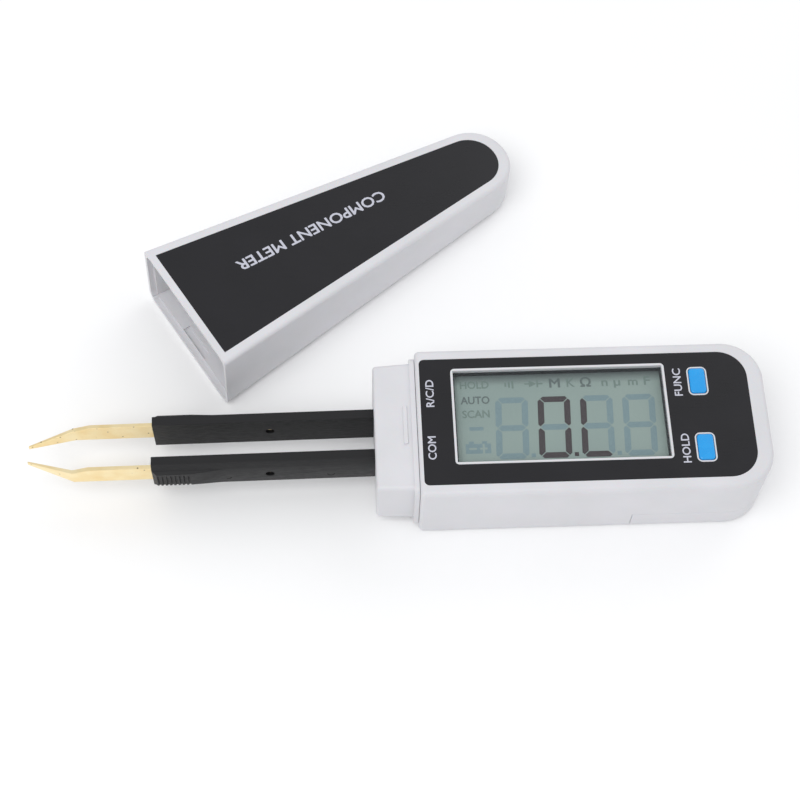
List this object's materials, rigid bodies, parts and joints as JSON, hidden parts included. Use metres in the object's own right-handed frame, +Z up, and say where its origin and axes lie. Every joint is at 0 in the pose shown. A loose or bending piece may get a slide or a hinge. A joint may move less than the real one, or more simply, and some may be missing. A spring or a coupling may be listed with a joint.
{
  "type": "tweezer component tester",
  "caption": "Hand-held tester with a display and buttons in a tub-shaped case, sprung plated tweezer probes on a tapered nose, and a pull-off tapered cap beside it.",
  "frame": {"origin": "middle of the flat back face of the tester, which lies on the table", "axes": "+X along the tester from the tweezer points to the round rear end, +Y across it towards the loose cap, +Z up through the display"},
  "size_m": [0.1652, 0.1011, 0.0203],
  "materials": {
    "case": "white ABS, fine moulded satin",
    "overlay": "black polycarbonate label, gloss",
    "window": "clear acrylic",
    "arm": "black glass-filled nylon",
    "tip": "gold-plated spring bronze",
    "lead": "red insulated wire",
    "lead_black": "black insulated wire",
    "lcd": "grey-green twisted-nematic display glass",
    "reflector": "brushed reflector foil",
    "holder": "natural ABS",
    "elastomer": "zebra elastomer",
    "board": "green solder mask on glass-epoxy",
    "blob": "black potting resin",
    "components": "ceramic chip parts",
    "crystal_can": "pressed steel can",
    "buzzer_case": "black moulded case",
    "button": "blue silicone-look ABS",
    "plunger": "black nylon",
    "switch": "black switch housing",
    "cell": "nickel-plated steel can",
    "contact": "nickel-plated spring steel",
    "screw": "zinc-plated steel"
  },
  "bodies": {
    "tester": {"front_case": "case", "back_case": "case", "nose_collar": "case", "front_overlay": "overlay", "display_window": "window", "arm_clamp_block": "arm", "signal_lead": "lead", "common_lead": "lead_black", "lcd_panel": "lcd", "lcd_reflector": "reflector", "lcd_holder": "holder", "elastomer_strips": "elastomer", "main_pcb": "board", "controller_blob": "blob", "board_components": "components", "crystal": "crystal_can", "buzzer": "buzzer_case", "tact_switches": "switch", "coin_cell": "cell", "negative_contact": "contact", "positive_clip": "contact", "case_screws": "screw", "clamp_screws": "screw"},
    "func_key": {"func_button": "button", "func_plunger": "plunger"},
    "hold_key": {"hold_button": "button", "hold_plunger": "plunger"},
    "signal_tweezer": {"signal_arm": "arm", "signal_tip": "tip"},
    "common_tweezer": {"common_arm": "arm", "common_tip": "tip"},
    "cover": {"battery_cover": "case"},
    "cap": {"cap_shell": "case", "cap_overlay": "overlay"}
  },
  "joints": [
    {"name": "func_press", "type": "slide", "parent": "tester", "child": "func_key", "axis": [0, 0, -1], "range_m": [0, 0.00035], "stiffness_N_per_m": 4000, "springref_m": -0.0001},
    {"name": "hold_press", "type": "slide", "parent": "tester", "child": "hold_key", "axis": [0, 0, -1], "range_m": [0, 0.00035], "stiffness_N_per_m": 4000, "springref_m": -0.0001},
    {"name": "signal_squeeze", "type": "hinge", "parent": "tester", "child": "signal_tweezer", "pos_m": [-0.0375, 0.0052, 0.01], "axis": [0, 0, 1], "range_deg": [0, 1.08], "stiffness_Nm_per_rad": 8},
    {"name": "common_squeeze", "type": "hinge", "parent": "tester", "child": "common_tweezer", "pos_m": [-0.0375, -0.0052, 0.01], "axis": [0, 0, -1], "range_deg": [0, 1.08], "stiffness_Nm_per_rad": 8},
    {"name": "cover_slide", "type": "slide", "parent": "tester", "child": "cover", "axis": [1, 0, 0], "range_m": [0, 0.03]},
    {"name": "cap_pull", "type": "slide", "parent": "tester", "child": "cap", "axis": [0.8504, 0.5262, 0], "range_m": [0, 0.09]}
  ]
}
